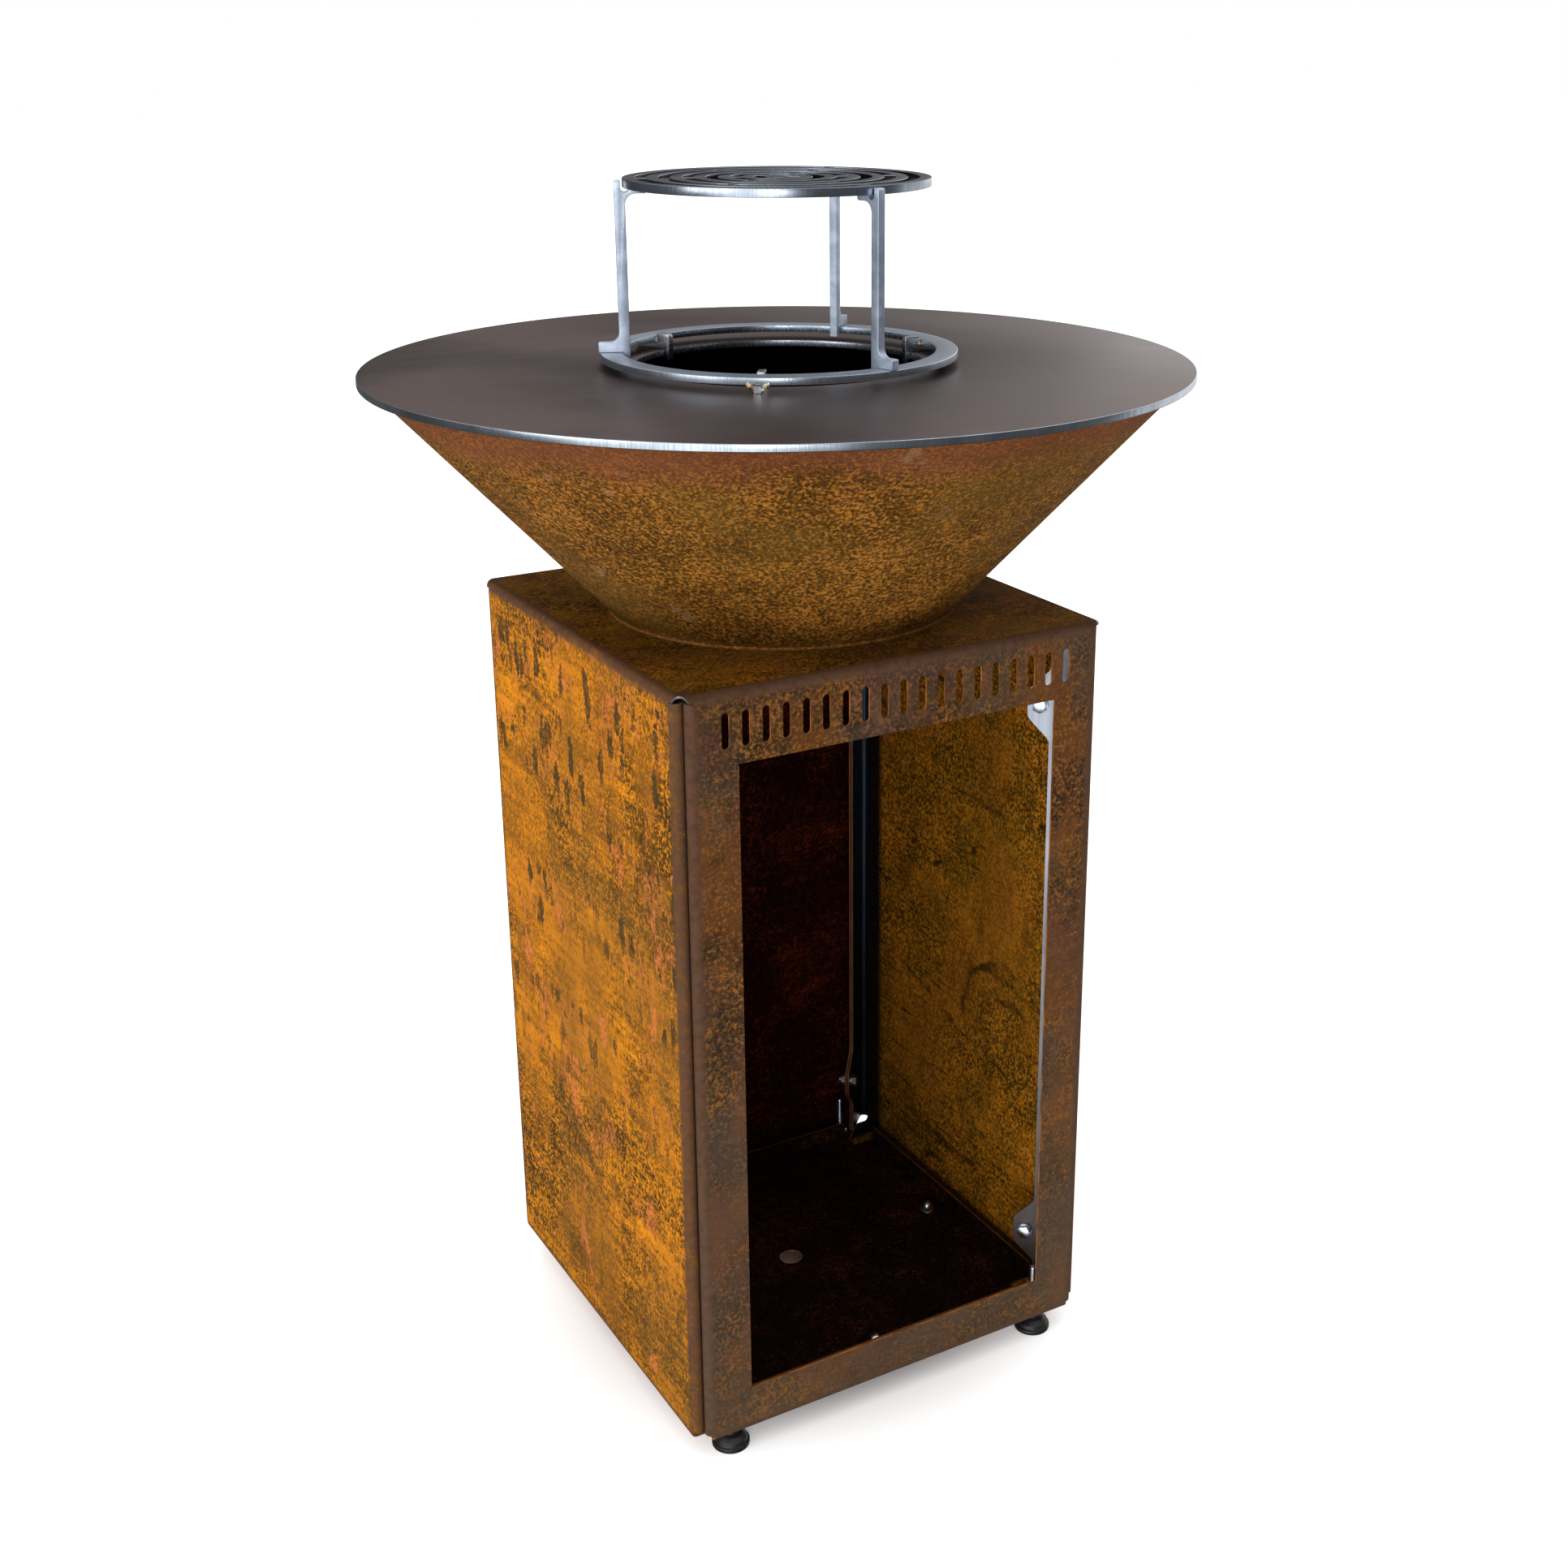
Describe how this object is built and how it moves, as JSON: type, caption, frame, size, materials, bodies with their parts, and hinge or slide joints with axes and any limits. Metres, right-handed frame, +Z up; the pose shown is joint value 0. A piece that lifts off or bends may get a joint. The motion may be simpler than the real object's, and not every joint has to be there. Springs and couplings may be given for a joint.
{
  "type": "fire pit with grate",
  "caption": "Conical fire bowl on a square open-fronted steel log stand, with a flat ring-shaped cooking plate, a raised fire ring and a lift-off grate on legs.",
  "frame": {"origin": "on the ground under the middle of the square stand, which is also under the middle of the round bowl", "axes": "+Z up, -Y out of the stand's open front, +X to the right of someone facing the front from outside"},
  "size_m": [0.8, 0.8, 1.2157],
  "materials": {
    "weathering_steel": "matt orange-brown rust on folded sheet",
    "weathering_steel_inside": "matt dark red-brown rust",
    "weathering_steel_bowl": "matt ochre rust, darker at the rim",
    "cooking_steel": "satin oiled brown-grey steel with a bright machined edge",
    "ring_steel": "satin brown-grey top, blue-grey cut edges",
    "ring_foot_steel": "bare steel with weld heat tint",
    "grate_steel": "dark satin steel with lighter cut edges",
    "blasted_steel": "light blue-grey blasted steel, heat-tinted near the top",
    "zinc_steel": "bright blue-white zinc plating",
    "black_plastic": "satin black moulded plastic"
  },
  "bodies": {
    "stand": {"back_left_high_bolt": "zinc_steel", "back_left_high_nut": "zinc_steel", "back_left_low_bolt": "zinc_steel", "back_left_low_nut": "zinc_steel", "back_panel": "weathering_steel", "back_right_high_bolt": "zinc_steel", "back_right_high_nut": "zinc_steel", "back_right_low_bolt": "zinc_steel", "back_right_low_nut": "zinc_steel", "bowl_base": "weathering_steel_bowl", "bowl_cone": "weathering_steel_bowl", "floor_tray": "weathering_steel_inside", "foot_flange_nut_back_left": "zinc_steel", "foot_flange_nut_back_right": "zinc_steel", "foot_flange_nut_front_left": "zinc_steel", "foot_flange_nut_front_right": "zinc_steel", "foot_lock_nut_back_left": "zinc_steel", "foot_lock_nut_back_right": "zinc_steel", "foot_lock_nut_front_left": "zinc_steel", "foot_lock_nut_front_right": "zinc_steel", "front_left_high_bolt": "zinc_steel", "front_left_high_nut": "zinc_steel", "front_left_low_bolt": "zinc_steel", "front_left_low_nut": "zinc_steel", "front_panel": "weathering_steel", "front_right_high_bolt": "zinc_steel", "front_right_high_nut": "zinc_steel", "front_right_low_bolt": "zinc_steel", "front_right_low_nut": "zinc_steel", "left_panel": "weathering_steel", "right_panel": "weathering_steel", "tray_bolt_back": "zinc_steel", "tray_bolt_front": "zinc_steel", "tray_bolt_left": "zinc_steel", "tray_bolt_right": "zinc_steel", "tray_cap_nut_back": "zinc_steel", "tray_cap_nut_front": "zinc_steel", "tray_cap_nut_left": "zinc_steel", "tray_cap_nut_right": "zinc_steel"},
    "foot_front_left": {"foot_base_front_left": "black_plastic", "foot_stud_front_left": "zinc_steel"},
    "foot_front_right": {"foot_base_front_right": "black_plastic", "foot_stud_front_right": "zinc_steel"},
    "foot_back_right": {"foot_base_back_right": "black_plastic", "foot_stud_back_right": "zinc_steel"},
    "foot_back_left": {"foot_base_back_left": "black_plastic", "foot_stud_back_left": "zinc_steel"},
    "plate": {"cooking_plate": "cooking_steel"},
    "ring": {"fire_ring": "ring_steel", "ring_foot_back_left": "ring_foot_steel", "ring_foot_front": "ring_foot_steel", "ring_foot_right": "ring_foot_steel"},
    "grate": {"grate": "grate_steel", "grate_leg_back": "blasted_steel", "grate_leg_left": "blasted_steel", "grate_leg_right": "blasted_steel"}
  },
  "joints": [
    {"name": "foot_front_left_screw", "type": "slide", "parent": "stand", "child": "foot_front_left", "axis": [0, 0, -1], "range_m": [0, 0.03]},
    {"name": "foot_front_right_screw", "type": "slide", "parent": "stand", "child": "foot_front_right", "axis": [0, 0, -1], "range_m": [0, 0.03]},
    {"name": "foot_back_right_screw", "type": "slide", "parent": "stand", "child": "foot_back_right", "axis": [0, 0, -1], "range_m": [0, 0.03]},
    {"name": "foot_back_left_screw", "type": "slide", "parent": "stand", "child": "foot_back_left", "axis": [0, 0, -1], "range_m": [0, 0.03]},
    {"name": "plate_lift", "type": "slide", "parent": "stand", "child": "plate", "axis": [0, 0, 1], "range_m": [0, 0.15]},
    {"name": "ring_lift", "type": "slide", "parent": "plate", "child": "ring", "axis": [0, 0, 1], "range_m": [0, 0.12]},
    {"name": "grate_lift", "type": "slide", "parent": "ring", "child": "grate", "axis": [0, 0, 1], "range_m": [0, 0.2]}
  ]
}
